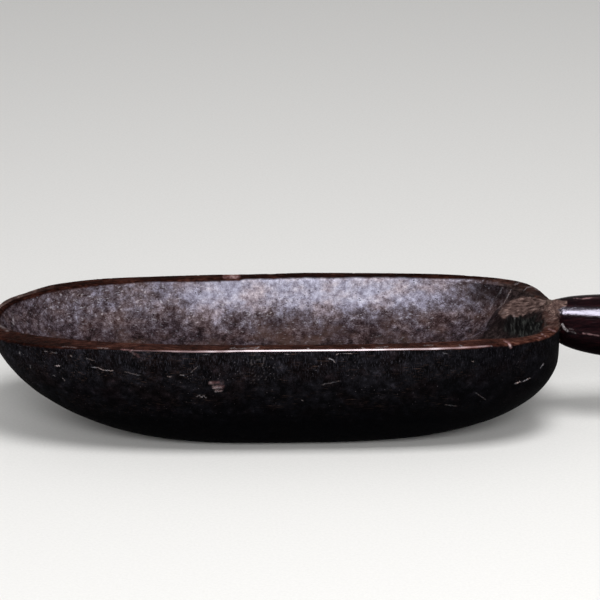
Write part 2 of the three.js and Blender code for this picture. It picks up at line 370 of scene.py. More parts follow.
def grid_mesh(name, rows):
    """A closed mesh through rings of points, whose first and last rings are folded flat."""
    count = len(rows)
    index = np.arange(count * COLUMNS).reshape(count, COLUMNS)
    for end in (0, count - 1):
        index[end] = np.minimum(index[end], index[end][MIRRORED])
    following = np.roll(index, -1, axis=1)
    quads = np.stack([index[:-1], following[:-1], following[1:], index[1:]], -1).reshape(-1, 4)
    used = np.zeros(count * COLUMNS, bool)
    used[np.unique(index)] = True
    renumber = np.cumsum(used) - 1
    faces = [[v for k, v in enumerate(quad) if v != quad[k - 1]] for quad in renumber[quads].tolist()]
    return new_mesh(name, rows.reshape(-1, 3)[used], [face for face in faces if len(face) > 2])


def tube_mesh(name, rings):
    """A closed mesh through rings of points, with a point in the middle of each end."""
    rings = np.array(rings)
    count, sides = rings.shape[:2]
    index = np.arange(count * sides).reshape(count, sides)
    following = np.roll(index, -1, axis=1)
    faces = np.stack([index[:-1], following[:-1], following[1:], index[1:]], -1).reshape(-1, 4).tolist()
    points = rings.reshape(-1, 3).tolist()
    for ring, turned in ((0, True), (count - 1, False)):
        points.append(rings[ring].mean(0).tolist())
        for a, b in zip(index[ring].tolist(), following[ring].tolist()):
            faces.append([len(points) - 1, b, a] if turned else [len(points) - 1, a, b])
    return new_mesh(name, points, faces)


def grid_normals(rows):
    """Outward normals of the rings' points."""
    around = np.roll(rows, -1, axis=1) - np.roll(rows, 1, axis=1)
    upward = np.gradient(rows, axis=0)
    normal = np.cross(around, upward)
    size = np.linalg.norm(normal, axis=2, keepdims=True)
    return normal / np.maximum(size, 1e-9)


def add_object(data):
    """Puts a mesh, a lamp or a camera into the scene."""
    made = bpy.data.objects.new(data.name, data)
    bpy.context.scene.collection.objects.link(made)
    return made


def combine(target, mesh, operation):
    """Cuts a closed mesh out of the target, or joins it on, and drops the cutter."""
    cutter = add_object(mesh)
    modifier = target.modifiers.new("combine", "BOOLEAN")
    modifier.solver = "MANIFOLD"
    modifier.operation = operation
    modifier.object = cutter
    made = bpy.data.meshes.new_from_object(target.evaluated_get(bpy.context.evaluated_depsgraph_get()))
    target.modifiers.clear()
    old, target.data = target.data, made
    made.name = target.name
    bpy.data.objects.remove(cutter)
    bpy.data.meshes.remove(mesh)
    bpy.data.meshes.remove(old)


def turns(sides):
    """Angles evenly spaced round a circle."""
    return np.arange(sides) / sides * 2 * math.pi


def dowel_mesh(name, start, end, diameter):
    """A round dowel from start to end, along X or Z."""
    turn, flat = turns(DOWEL_SIDES), np.zeros(DOWEL_SIDES)
    one, two = np.cos(turn) * diameter / 2, np.sin(turn) * diameter / 2
    ring = np.column_stack([flat, one, two] if start[0] != end[0] else [one, two, flat])
    return tube_mesh(name, [np.array(start, float) + ring, np.array(end, float) + ring])


def places_of(mesh):
    """The mesh's points in millimetres."""
    flat = np.empty(len(mesh.vertices) * 3)
    mesh.vertices.foreach_get("co", flat)
    return flat.reshape(-1, 3) / MM


def write_masks(mesh, masks):
    for name, values in masks.items():
        layer = mesh.attributes.new(name, "FLOAT", "POINT")
        layer.data.foreach_set("value", np.ascontiguousarray(values, np.float32))


def curve_places(points, shares):
    """Places on a centripetal Catmull-Rom curve through the given points."""
    points = np.asarray(points, float)
    last = len(points) - 1
    padded = np.vstack([2 * points[0] - points[1], points, 2 * points[last] - points[last - 1]])
    places = []
    for share in shares:
        index = min(int(share * last), last - 1)
        t = share * last - index
        p0, p1, p2, p3 = padded[index:index + 4]
        gap0, gap1, gap2 = (np.sum((b - a) ** 2) ** 0.25 for a, b in ((p0, p1), (p1, p2), (p2, p3)))
        leave = ((p1 - p0) / gap0 - (p2 - p0) / (gap0 + gap1) + (p2 - p1) / gap1) * gap1
        arrive = ((p2 - p1) / gap1 - (p3 - p1) / (gap1 + gap2) + (p3 - p2) / gap2) * gap1
        places.append(p1 + leave * t + (3 * (p2 - p1) - 2 * leave - arrive) * t ** 2
                      + (2 * (p1 - p2) + leave + arrive) * t ** 3)
    return np.array(places)


# Thin scratches in the photograph's pixels: start across and down, end across and down, strength
OUTER_LINES = (
    (91.5, 367.3, 97.5, 367.9, 0.35), (97, 367.6, 102.8, 370.3, 0.55), (102.5, 370.2, 112.5, 370.9, 0.5),
    (125, 372.2, 130.5, 373.2, 0.16), (130, 373.4, 139, 375.5, 0.18), (136.5, 374.8, 140, 375.6, 0.12),
    (55.3, 366, 59.7, 366, 0.9), (19.3, 352, 19.8, 354.5, 0.45), (70.4, 355.8, 71.5, 356.6, 0.6),
    (29.8, 365.3, 30.4, 368, 0.3), (53, 375.6, 54.6, 376.4, 0.25), (62.7, 378, 64.5, 381, 0.25),
    (44.5, 351.4, 47, 352, 0.35), (51, 352.4, 56.5, 353.2, 0.2), (86.5, 358.6, 94, 360.8, 0.2),
    (196.6, 396.8, 199.4, 395.2, 0.2), (199.2, 395.4, 201.4, 397.6, 0.35), (201.2, 397.6, 203.6, 395.8, 0.3),
    (203.4, 396, 206.2, 398, 0.25), (301.7, 400.3, 302.8, 400.6, 0.4), (322, 385, 340, 381, 0.12),
    (515.4, 383.6, 520.3, 381.9, 0.8), (523.5, 381.4, 530, 378.4, 0.75), (541, 367.8, 543.6, 364.2, 0.6),
    (475.8, 393.2, 485.5, 399.7, 0.1), (445.4, 405.1, 456.3, 406.2, 0.1), (443.4, 353, 446.6, 354, 0.35),
    (472, 361.5, 473.6, 362, 0.3), (167.5, 376.6, 171, 376.9, 0.3), (180.5, 375.4, 183.8, 375.8, 0.4),
    (191, 372.5, 197.5, 366.8, 0.18), (203, 354, 208.5, 355, 0.2), (213, 388.4, 222.5, 387.2, 0.32),
    (215, 392, 222, 391, 0.22), (329, 358.6, 333.6, 360.4, 0.6), (333.4, 360.4, 335, 362.4, 0.5),
    (336.5, 354.6, 339.5, 352.8, 0.6), (339.5, 353, 352, 353.6, 0.6), (284.5, 353.8, 288.5, 354.6, 0.3),
)
RIM_LINES = (
    (490.8, 345.6, 491.8, 346.4, 0.5), (459.5, 345, 462.3, 346.2, 0.45), (254.8, 349, 259, 347, 0.8),
    (230.5, 348.4, 234.5, 347.4, 0.45), (234.5, 348.6, 255, 347.9, 0.25), (307.5, 348.2, 310, 349.6, 0.7),
    (362, 347.6, 365, 348.6, 0.7), (376, 347.4, 388, 346.6, 0.35), (424, 345.4, 433, 345.3, 0.3),
    (514, 285.3, 522, 283, 0.3), (523.5, 291, 527, 288, 0.3), (527, 288, 533, 287, 0.3),
    (533, 287, 537.5, 289.8, 0.25), (98, 347.6, 108, 348.2, 0.35), (62, 346.5, 76, 347.5, 0.2),
)
INNER_LINES = (
    (513.4, 284, 510.6, 289.5, 0.45), (510.6, 289.5, 506.4, 298.7, 0.45), (506.4, 298.7, 503.7, 303.3, 0.35),
    (503.7, 303.3, 497.5, 309, 0.2), (504.5, 285, 499, 293.4, 0.2), (499, 293.4, 495.3, 298, 0.12),
)
# Wider marks: the same with a half-width before the strength
# Chips, and as the second and third entries painted highlights on the plain end's inner wall
CHIPS_AND_HIGHLIGHTS = (
    (0, 325.5, 7.5, 330.5, 1.4, 0.22), (12, 313, 14, 319, 0.7, 0.12), (13.4, 319, 13.6, 324, 0.8, 0.2),
    (500.5, 314, 505, 311.5, 0.5, 0.12), (513, 313.5, 514.5, 318, 0.6, 0.12),
)
SCARS = (
    (121, 349, 132, 350, 0.5, 0.6), (130, 350.5, 138.5, 356.5, 1.2, 0.2), (210, 383, 222.5, 382.6, 1.6, 0.2),
    (213.5, 387.3, 223, 386.8, 1.8, 0.26), (216, 391, 222, 390.5, 0.8, 0.2),
    (504.5, 340.8, 508.5, 342, 0.7, 0.4), (508.5, 342, 511.2, 347.8, 1.0, 0.75),
    (224.5, 277, 238.5, 277, 2.0, 0.45), (549, 328.8, 555, 331, 0.9, 0.3),
    (536, 336.2, 541, 338.3, 0.6, 0.25), (541.5, 333.6, 545.5, 336.2, 0.6, 0.25),
)
HANDLE_MARKS = (
    (562.4, 324.8, 564.4, 328.6, 1.3, 0.8), (564.6, 328.6, 567.2, 330.6, 1.3, 0.7),
    (567.6, 330.6, 575.5, 333.2, 0.7, 0.14), (569, 328.8, 573, 329.6, 0.6, 0.12),
)
# Painted sheen along the handle's upper and lower arrises
HANDLE_SHEEN = (
    (573.5, 298.2, 582, 298.7, 0.4, 0.3), (582, 298.7, 591.5, 297.8, 0.5, 0.5),
    (583, 333.2, 590, 334.2, 0.5, 0.5), (590, 334.2, 598.5, 335.6, 0.4, 0.35),
    (598.5, 335.6, 640, 338, 0.4, 0.12), (591.5, 297.8, 650, 297, 0.4, 0.08),
)
# Upper and lower border of the worn fibres between the handle and the scoop
BAND_TOP = (
    (497, 316), (498.5, 312), (503, 306), (512, 300), (523, 296.4), (534, 297.4), (545, 299.6), (555, 299.2),
    (567, 301.5), (568, 308),
)
BAND_FOOT = (
    (497, 312), (498.5, 314), (501, 316), (505, 318), (508, 316), (511, 315.5), (514, 318.8), (518, 317),
    (526, 312.6), (538, 311.7), (545, 309.5), (555, 310), (567, 304.5), (568, 302),
)
# Lower edge of the worn wood on the near rim's outside, in pixels across and down
RIM_FOOT = (
    (0, 341.8), (20, 344.8), (40, 347.3), (60, 348.8), (100, 348.9), (150, 349.9), (180, 351.2),
    (200, 352.2), (250, 351.6), (300, 350.9), (400, 350.2), (450, 349.7), (480, 348.9), (512, 348.4),
    (522, 345.5), (540, 341.2), (552, 336.5), (558, 332),
)
# How far down it goes inside, in millimetres: the near side along X, the far side across the photograph
NEAR_REACH = ((-190, 4.6), (-120, 4.2), (-60, 3.2))
FAR_REACH = (
    (5, 2.6), (60, 1.9), (110, 1.7), (140, 1.3), (200, 2.2), (238, 2.2), (245, 1.2), (300, 0.8), (400, 0.9),
    (430, 1.2), (540, 0.4),
)
# How worn it is across the photograph
NEAR_WEAR = (
    (0, 0.4), (15, 0.16), (40, 0.1), (100, 0.38), (150, 0.55), (200, 0.55), (300, 0.4), (420, 0.5),
    (505, 0.5), (530, 0.6), (560, 0.5),
)
FAR_WEAR = (
    (20, 0.4), (80, 0.35), (160, 0.25), (222, 0.2), (226, 0.75), (238, 0.75), (242, 0.2), (300, 0.1),
    (450, 0.12), (500, 0.3), (535, 0.2),
)
# Strength and width of the painted highlight along the near rim's outer edge, across the photograph
GLEAM = (
    (118, 0), (124, 0.17), (150, 0.2), (210, 0.4), (222, 0.42), (232, 0.55), (250, 0.72),
    (300, 0.95), (350, 0.85), (400, 0.55), (430, 0.45), (450, 0.36), (485, 0.22), (496, 0),
)
GLEAM_WIDTH = ((160, 1), (185, 1.8), (220, 1.6), (245, 1), (395, 1), (435, 1.7))
# How pale the trough is along X and with the height, both in millimetres: dust together with painted sheen
PALE_ALONG = (
    (-200, 0.1), (-175, 0.2), (-150, 0.38), (-80, 0.64), (-45, 1.0), (60, 1.04), (92, 1.02), (120, 0.76),
    (150, 0.4), (160, 0.28), (168, 0.2),
)
PALE_UP = ((30, 0.04), (44, 0.1), (52, 0.36), (62, 0.74), (70, 1.0))
# Down the photograph: the crease, how far to its right the painted shade goes, and the painted shade in the
# trough's far corner
CREASE = ((303, 503.5), (311, 495.5), (323.5, 487), (338, 482.5))
CREASE_SHADE = ((321, 12), (330, 3))
CORNER_SHADE = ((299, 0.85), (310, 0.12))
# How much higher than level the far rim stands across the photograph, in millimetres
FAR_RIM_WAVE = (
    (10, -0.8), (25, -1.2), (50, 0.5), (100, 0.7), (150, 0.3), (180, 0.4), (215, 0.7), (250, 0.7),
    (275, 1.1), (305, 1.6), (335, 1.4), (360, 1.2), (400, 1.0), (440, 1.1), (480, 1.0), (500, 1.2),
    (515, 1.3), (527, 1.1), (537, 0), (545, -1.8),
)
# Single places in pixels across and down: a middle, and for the last two its half-sizes
FAN_CENTRE = (590, 298)
DEEP_PLACE = ((523, 326), (23, 10.5))
CRACKLE_PLACE = ((262, 369), (23, 17))


def read_off(value, table):
    """What a table of pairs gives for a value, in straight lines between its entries."""
    return np.interp(value, *zip(*table))


def within(u, v, top, foot, ragged):
    """1 between two borders that are given in the photograph's pixels."""
    upper, lower = read_off(u, top), read_off(u, foot)
    return smooth(-0.9, 0.9, v - upper + 0.5 * ragged) * smooth(0.9, -0.9, v - lower - ragged)


def marks_at(u, v, marks, roughness):
    """How strong the wider marks are at places in pixels: each fades out past its half-width."""
    total = np.zeros(len(u))
    for *start, right, down, half_width, strength in marks:
        along = np.subtract((right, down), start)
        share = ((u - start[0]) * along[0] + (v - start[1]) * along[1]) / (along @ along)
        share = np.clip(share, 0, 1)
        distance = np.hypot(u - start[0] - share * along[0], v - start[1] - share * along[1])
        total = np.maximum(total, strength * smooth(half_width + 0.5, half_width * 0.4, distance))
    return total * roughness


def thin_lines(u, v, lines):
    """Each place's offset in pixels from the thin line that it is nearest to, and that line's strength."""
    nearest, offset, strength = np.full(len(u), 1e9), np.zeros(len(u)), np.zeros(len(u))
    for *start, right, down, power in lines:
        along = np.subtract((right, down), start)
        length = math.hypot(*along)
        along = along / length
        place = (u - start[0]) * along[0] + (v - start[1]) * along[1]
        side = (v - start[1]) * along[0] - (u - start[0]) * along[1]
        here = power * smooth(-1.0, 0.6, place) * smooth(length + 1.0, length - 0.6, place)
        distance = np.hypot(side, np.maximum(np.maximum(-place, place - length), 0))
        closer = distance < nearest
        nearest[closer], offset[closer] = distance[closer], side[closer]
        strength[closer] = (here * smooth(2.4, 1.7, np.abs(side)))[closer]
    return np.clip(offset, -5, 5), strength


class DishSurface:
    """The dish's points, with all that their wear and their marks are worked out from."""

    def __init__(self, rows, kinds, above):
        points = rows.reshape(-1, 3)
        self.points, self.kinds, self.above = points, kinds, above
        self.x, self.y, self.z = points.T
        self.u, self.v = photo_place(points)
        self.below = rim_height(self.x) - self.z
        self.near, self.outside = self.y < 0, kinds <= OUTER_EDGE
        self.rim_part = (kinds > OUTSIDE) & (kinds < INSIDE)
        self.plain_far = smooth(62, 22, self.u) * (self.y > 0)
        self.coarse, self.fine = noise(points, 6, 11, (2.5, 1, 1)), noise(points, 2.2, 12)
        self.ragged = self.coarse + 0.5 * self.fine
        self.torn = 1.6 * noise(points, 2.6, 31, (1, 2, 1)) + 0.8 * self.fine
        self.speckle = np.clip(0.8 + 0.9 * noise(points, 1.4, 15), 0.1, 1.5)
        scoop = np.where(kinds == INSIDE, smooth(2.0, -2.0, above), smooth(166, 174, self.x))
        self.scoop = scoop * (kinds >= INNER_EDGE)
        band = within(self.u, self.v, BAND_TOP, BAND_FOOT, self.torn)
        self.band = band * (self.x > 150) * (self.y > -34) * (kinds >= TOP)

    def from_place(self, place):
        """How far out the points lie from a middle: 1 is at its half-sizes across and down."""
        (across, down), (wide, high) = place
        return np.hypot((self.u - across) / wide, (self.v - down) / high)


def rim_masks(s):
    """The worn wood of the rim, how worn it is, and the painted highlight along its near edge."""
    near_reach = read_off(s.x, NEAR_REACH) + 1.2 * s.ragged
    inner_reach = np.where(s.near, near_reach, read_off(s.u, FAR_REACH) + 0.3 * s.ragged)
    reach = np.where(s.kinds >= TOP, inner_reach, 1.3 + 0.5 * s.ragged)
    above_foot = smooth(0.8, -0.5, s.v - read_off(s.u, RIM_FOOT) + 0.3 * s.ragged)
    rim = smooth(reach + 0.8, reach - 0.6, s.below) * np.where(s.near & (s.kinds < TOP), above_foot, 1)
    on_far = read_off(s.u, FAR_WEAR) * (1 - 0.7 * s.plain_far * (s.kinds == INNER_EDGE))
    wear = np.where(s.near, read_off(s.u, NEAR_WEAR), on_far) + 0.25 * s.ragged
    # Painted highlight along the near rim's outer edge
    edge = smooth(0.46, 0.16, np.abs(s.below / read_off(s.u, GLEAM_WIDTH) - 0.36))
    edge = edge * s.near * (s.kinds > OUTSIDE) * (s.kinds < TOP)
    flicker = 1.0 + 0.35 * noise(s.points, 2.6, 14, (2.5, 1, 1))
    gleam = read_off(s.u, GLEAM) * edge * flicker
    return {"rim": rim, "wear": np.clip(wear, 0, 1.3), "gleam": np.clip(gleam, 0, 1)}


def band_masks(s):
    """The worn fibres by the handle and on the ends of the rim, and the way that they fan out."""
    ends = 0.8 * smooth(178, 190, s.x) * smooth(44, 26, np.where(s.near, -s.y, 2.2 * s.y)) * s.rim_part
    ends = np.maximum(ends, 0.75 * s.plain_far * (s.kinds < INNER_EDGE) * s.rim_part)
    ends = np.maximum(ends, 0.2 * smooth(474, 492, s.u) * (s.y > 20) * s.rim_part)
    across, down = FAN_CENTRE[0] - s.u, s.v - FAN_CENTRE[1]
    return {
        "band": np.maximum(s.band, ends * np.clip(0.7 + 0.6 * s.ragged, 0, 1)),
        "fan": 46 * np.arctan2(down, across) + 0.5 * s.coarse,
        "reach": np.hypot(down, across) / 7,
    }


def hollow_masks(s):
    """How pale the trough is with dust and painted sheen, and the painted shade in the scoop's deep end, by
    its crease and in the trough's far corner.
    """
    lifted = s.z + 5 * noise(s.points, 14, 21) + 3 * noise(s.points, 6, 22)
    # Paler high up along the middle: dust together with painted sheen
    pale = read_off(s.x, PALE_ALONG) * read_off(lifted, PALE_UP) * (1 - s.scoop)
    # Painted shade on the scoop's deep end wall, streaked with its grain
    from_deep = s.from_place(DEEP_PLACE) + 0.1 * s.torn + 0.4 * noise(s.points, 8, 33, (1, 1, 2))
    deep_shade = smooth(1.3, 0.75, from_deep) * s.scoop * (1 - s.band) * (s.y < 60)
    corner = s.scoop * smooth(-22, -2, s.above) * smooth(296, 306, s.v)
    corner *= 1 - 0.75 * smooth(322, 331, s.v) * smooth(506, 500, s.u)
    end = read_off(s.v, CORNER_SHADE) * smooth(134, 158, s.x + 3 * s.coarse)
    corner = corner * (0.75 + 0.35 * s.coarse) + (1 - s.scoop) * end
    beyond, fade = s.u - read_off(s.v, CREASE), read_off(s.v, CREASE_SHADE)
    crease = smooth(-0.9, 0.4, beyond) * smooth(fade + 3, fade - 3, beyond) * smooth(304, 310, s.v)
    shade = np.maximum(corner, (0.95 + 0.3 * s.fine) * crease) * (s.kinds == INSIDE) * (1 - s.band)
    return {"scoop": s.scoop, "pale": pale, "deep_shade": deep_shade, "shade": shade}


def mark_masks(s):
    """Chips and a few painted highlights, scars and thin scratches."""
    crackle = smooth(0.5, 0.75, noise(s.points, 1.3, 17)) * smooth(1.25, 0.6, s.from_place(CRACKLE_PLACE))
    chips_and_highlights = marks_at(s.u, s.v, CHIPS_AND_HIGHLIGHTS, s.speckle) * ~s.outside + 0.06 * crackle * s.outside * s.near
    scars = marks_at(s.u, s.v, SCARS, s.speckle) * (s.rim_part | s.outside & s.near)
    offset, line = np.full(len(s.u), 3.0), np.zeros(len(s.u))
    groups = (OUTER_LINES, s.outside & s.near), (RIM_LINES, s.rim_part), (INNER_LINES, s.kinds == INSIDE)
    for lines, there in groups:
        offset[there], line[there] = thin_lines(s.u[there], s.v[there], lines)
    return {"chip_and_highlight": chips_and_highlights, "scar": np.clip(scars, 0, 1), "offset": offset, "line": line}


def worn_depth(s, masks):
    """How far the dish's points are worn or cut in, in millimetres."""
    inside = s.kinds == INSIDE
    facets = np.abs(noise(s.points, 15, 43, (2.2, 2.2, 1)))
    gouges = np.abs(noise(s.points, 8, 44, (2.6, 1, 1)))
    nicks = smooth(0.5, 0.85, noise(s.points, 3.6, 45)) + smooth(0.4, 0.9, noise(s.points, 9, 46))
    on_rim = 0.05 + 0.22 * nicks + 0.06 * (1 + noise(s.points, 24, 47))
    depth = np.where(s.outside, 0.16 + 0.4 * facets, 0.35 * gouges + 0.15 * np.abs(s.fine))
    depth = np.where(s.rim_part, on_rim, depth)
    depth += 0.25 * masks["chip_and_highlight"] + np.where(s.rim_part, 0.7, 0.3) * masks["scar"]
    depth += s.band * (0.14 * s.torn + 0.1)
    depth += 0.5 * s.scoop * inside * noise(s.points, 7, 48)
    from_joint = np.linalg.norm(s.points - (TIP, 0, TIP_HEIGHT - 8), axis=1)
    depth *= smooth(24, 34, from_joint) + inside * smooth(34, 24, from_joint) * smooth(8, 14, s.below)
    return np.maximum(depth, 0) * np.where(s.outside, smooth(0, 4, s.z), 1)


def weather_dish(rows, kinds, above):
    """How far the dish's points are worn in, and the masks of its finish."""
    surface = DishSurface(rows, kinds, above)
    masks = {"inside": smooth(OUTER_EDGE, INNER_EDGE, kinds)}
    for part_masks in (rim_masks, band_masks, hollow_masks, mark_masks):
        masks.update(part_masks(surface))
    return worn_depth(surface, masks), masks


def far_rim_wave(rows, kinds):
    """How much higher than level, in millimetres, the hand-carved far rim stands."""
    points = rows.reshape(-1, 3)
    x, y, z = points.T
    rise = read_off(photo_place(points)[0], FAR_RIM_WAVE)
    ring_kinds = kinds[::COLUMNS]
    over_top = np.cumsum(ring_kinds == TOP).repeat(COLUMNS) / TOP_ROWS
    down_round = np.cumsum(ring_kinds == INNER_EDGE).repeat(COLUMNS) / (ROUND_ROWS + 1)
    part = smooth(52, 82, z) * (kinds < INSIDE) * (1 - 0.7 * over_top) * (1 - down_round)
    return (rise * part * smooth(np.where(x > 150, 18, 4), 34, y)).reshape(rows.shape[:2])


def handle_rings():
    """Rings of the handle's whole rod, from its lap over the rim to its rounded butt."""
    shares = np.linspace(0, 1, HANDLE_ROWS + 1)
    centres = curve_places([(TIP + at, shift, TIP_HEIGHT - sink) for at, _, sink, shift in STATIONS], shares)
    radii = curve_places([(at, diameter / 2, 0) for at, diameter, _, _ in STATIONS], shares)[:, 1]
    butt = np.linspace(0, math.pi / 2, BUTT_ROWS + 1)[1:-1]
    reach = BUTT_ROUND * math.sin(math.radians(75))
    ends = centres[-1] + np.column_stack([reach * np.sin(butt), 0 * butt, 0 * butt])
    centres = np.vstack([centres, ends])
    radii = np.concatenate([radii, BUTT_DIAMETER / 2 * np.cos(butt)])
    turn = turns(HANDLE_SIDES)
    power = 2 / HANDLE_SECTION_POWER
    section = np.column_stack([
        np.zeros(HANDLE_SIDES),
        np.sign(np.cos(turn)) * np.abs(np.cos(turn)) ** power,
        np.sign(np.sin(turn)) * np.abs(np.sin(turn)) ** power,
    ])
    rings = centres[:, None] + radii[:, None, None] * section
    points = rings.reshape(-1, 3)
    worn = 0.3 * np.abs(noise(points, 13, 51, (4, 1, 1))) + 0.1 * (1 + noise(points, 6, 52, (2, 1, 1)))
    lap = smooth(TIP + 3, TIP - 9, points[:, 0])
    worn += lap * (1.2 + 0.7 * noise(points, 4, 53, (2.5, 1, 1)))
    worn += 1.6 * smooth(TIP - 7, TIP - 9.5, points[:, 0])
    away = points - np.repeat(centres, HANDLE_SIDES, axis=0)
    length = np.maximum(np.linalg.norm(away, axis=1, keepdims=True), 1e-6)
    points = points - away / length * np.minimum(worn[:, None], 0.5 * length)
    return points.reshape(rings.shape)


def handle_masks(points):
    x, y, z = points.T
    u, v = photo_place(points)
    fine = noise(points, 1.8, 61)
    ragged = 1.4 * noise(points, 3.4, 62, (3, 1, 1)) + fine
    facing = y < 12
    strip = within(u, v, BAND_TOP, BAND_FOOT, ragged) * facing
    worn = np.maximum(strip, smooth(TIP + 1, TIP - 2, x + ragged))
    speckle = np.clip(0.7 + 0.9 * noise(points, 1.1, 63), 0.05, 1.4)
    chip_and_highlight = marks_at(u, v, HANDLE_MARKS, speckle) * facing
    # Painted sheen along the handle's arrises
    sheen = marks_at(u, v, HANDLE_SHEEN, speckle) * facing
    butt = smooth(TIP + HANDLE_LENGTH - 22, TIP + HANDLE_LENGTH - 2, x + 3 * ragged)
    at, diameter, sink, _ = np.transpose(STATIONS)
    height = (z - TIP_HEIGHT + np.interp(x - TIP, at, sink)) / (np.interp(x - TIP, at, diameter) / 2)
    polish = smooth(0.48, 0.6, height) * smooth(0.86, 0.74, height) * (y < 8)
    polish += 0.4 * smooth(8, 16, y) * smooth(-0.3, 0.4, height)
    # low is the handle's underside: painted shade in its colour, and less shine
    return {"worn": worn, "chip_and_highlight": chip_and_highlight, "sheen": sheen, "butt": butt, "polish": polish,
            "low": smooth(0.1, -0.6, height)}


def linear(red, green, blue):
    """A colour given from 0 to 255 as it looks, as the shader takes it."""
    parts = [c / 255 for c in (red, green, blue)]
    return tuple(c / 12.92 if c <= 0.04045 else ((c + 0.055) / 1.055) ** 2.4 for c in parts) + (1.0,)


class Finish:
    """A material with short names for the nodes that it is made of."""

    def __init__(self, name, **sockets):
        self.material = bpy.data.materials.new(name)
        self.material.use_nodes = True
        self.tree = self.material.node_tree
        self.surface = self.tree.nodes["Principled BSDF"]
        for socket, value in sockets.items():
            self.surface.inputs[socket.replace("_", " ")].default_value = value
        self.place = self.add("ShaderNodeTexCoord").outputs["Object"]

    def add(self, kind, sockets=(), **settings):
        made = self.tree.nodes.new(kind)
        for name, value in settings.items():
            setattr(made, name, value)
        for name, value in sockets:
            if isinstance(value, bpy.types.NodeSocket):
                self.tree.links.new(value, made.inputs[name])
            else:
                made.inputs[name].default_value = value
        return made

    def masks(self, *names):
        return [self.add("ShaderNodeAttribute", attribute_name=name).outputs["Fac"] for name in names]

    def scaled(self, size, stretch):
        scale = tuple(1 / (size * MM * s) for s in stretch)
        return self.add("ShaderNodeMapping", [("Vector", self.place), ("Scale", scale)]).outputs[0]

    def noise(self, size, stretch=(1, 1, 1), detail=4.0, rough=0.55):
        return self.add("ShaderNodeTexNoise", [
            ("Vector", self.scaled(size, stretch)), ("Scale", 1.0), ("Detail", detail),
            ("Roughness", rough)]).outputs["Fac"]

    def cells(self, size):
        return self.add("ShaderNodeTexVoronoi", [
            ("Vector", self.scaled(size, (1, 1, 1))), ("Scale", 1.0)]).outputs["Distance"]

    def level(self, value, low, high, bottom=0.0, top=1.0):
        return self.add("ShaderNodeMapRange", [
            ("Value", value), ("From Min", low), ("From Max", high), ("To Min", bottom),
            ("To Max", top)]).outputs["Result"]

    def sum(self, one, two):
        return self.add("ShaderNodeMath", [(0, one), (1, two)], operation="ADD").outputs[0]

    def times(self, one, two):
        return self.add("ShaderNodeMath", [(0, one), (1, two)], operation="MULTIPLY").outputs[0]

    def total(self, *parts):
        """The sum of values, each times its own strength."""
        scaled = [self.times(value, strength) for value, strength in parts]
        return functools.reduce(self.sum, scaled)

    def ramp(self, factor, *stops):
        """A colour ramp through stops that each have a place and a colour."""
        made = self.add("ShaderNodeValToRGB", [("Fac", factor)])
        elements = made.color_ramp.elements
        while len(elements) < len(stops):
            elements.new(0.5)
        for element, (place, *colour) in zip(elements, stops):
            element.position, element.color = place, linear(*colour)
        return made.outputs["Color"]

    def mix(self, factor, one, two, kind="MIX"):
        one, two = (linear(*c) if isinstance(c, tuple) else c for c in (one, two))
        return self.add("ShaderNodeMix", [(0, factor), (6, one), (7, two)], data_type="RGBA",
                        blend_type=kind).outputs[2]

    def layered(self, colour, *layers):
        """A colour under layers, which each have a factor, a colour and if need be a kind of mix."""
        for factor, *over in layers:
            colour = self.mix(factor, colour, *over)
        return colour

    def blend(self, factor, one, two):
        return self.add("ShaderNodeMix", [(0, factor), (2, one), (3, two)], data_type="FLOAT").outputs[0]

    def finish(self, colour, roughness, height, distance):
        bump = self.add("ShaderNodeBump", [("Height", height), ("Distance", distance * MM)])
        self.tree.links.new(colour, self.surface.inputs["Base Color"])
        self.tree.links.new(roughness, self.surface.inputs["Roughness"])
        self.tree.links.new(bump.outputs["Normal"], self.surface.inputs["Normal"])
        return self.material


def inner_colour(f, mottle, grit, pits):
    """The trough, paler high up along its middle with dust and painted sheen, and the darker scoop."""
    pale, scoop = f.masks("pale", "scoop")
    tone = f.sum(f.times(pale, 0.6), f.level(mottle, 0.28, 0.72, -0.2, 0.42))
    tone = f.sum(tone, f.level(grit, 0.3, 0.7, -0.13, 0.13))
    blotches = f.level(f.noise(15, (1.6, 1, 1), 5.0), 0.5, 0.66, 0.0, 0.5)
    flecks = f.level(f.noise(1.6, (1.8, 1, 1), 2.0), 0.6, 0.72, 0.0, 0.5)
    scratches = f.level(f.noise(0.6, (18, 1, 1.5), 2.0), 0.62, 0.7, 0.0, 0.2)
    tint = f.noise(13, (1.5, 1, 1), 3.0)
    return f.layered(
        f.ramp(tone, (0.0, 24, 17, 18), (0.2, 56, 44, 47), (0.4, 98, 88, 94),
               (0.62, 153, 146, 161), (0.82, 202, 197, 213), (1.0, 236, 232, 243)),
        (f.times(blotches, f.level(pale, 0.1, 0.9, 1.0, 0.15)), (80, 62, 57)),
        (f.times(pits, 0.8), (34, 29, 31)),
        (f.times(flecks, f.level(pale, 0.0, 0.6, 0.04, 1.0)), (226, 221, 232)),
        (f.times(scratches, f.level(pale, 0.0, 0.5, 0.3, 1.0)), (150, 140, 146)),
        (f.level(tint, 0.5, 0.62), (255, 246, 239), "MULTIPLY"),
        (f.level(tint, 0.5, 0.4), (245, 249, 255), "MULTIPLY"),
        (scoop, f.ramp(f.noise(2.4, (1, 1, 1.8), 8.0, 0.7), (0.3, 12, 9, 9), (0.48, 28, 22, 22),
                       (0.62, 54, 44, 44), (0.78, 96, 82, 80))))


